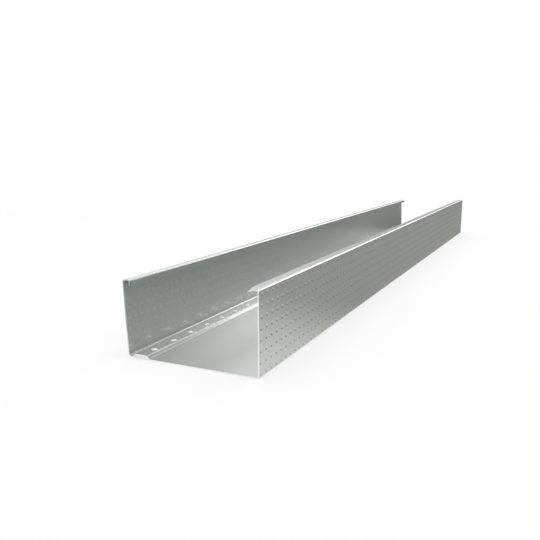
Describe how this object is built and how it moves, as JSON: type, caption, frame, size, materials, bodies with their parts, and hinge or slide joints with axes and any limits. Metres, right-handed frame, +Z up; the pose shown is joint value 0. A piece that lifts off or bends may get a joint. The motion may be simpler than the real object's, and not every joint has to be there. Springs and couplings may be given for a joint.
{
  "type": "drywall metal stud",
  "caption": "Roll-formed galvanised steel C stud for drywall partitions, with splayed flanges, turned lips and a dented bead beside one flange.",
  "frame": {"origin": "on the floor plane under the web, midway between the flanges and midway along the stud", "axes": "+X across the web towards the taller flange, +Y along the stud, +Z up out of the open side"},
  "size_m": [0.0713, 0.5, 0.0385],
  "materials": {
    "galvanised_steel": "hot-dip galvanised, satin, fine spangle"
  },
  "bodies": {
    "root": {"stud": "galvanised_steel"}
  },
  "joints": []
}
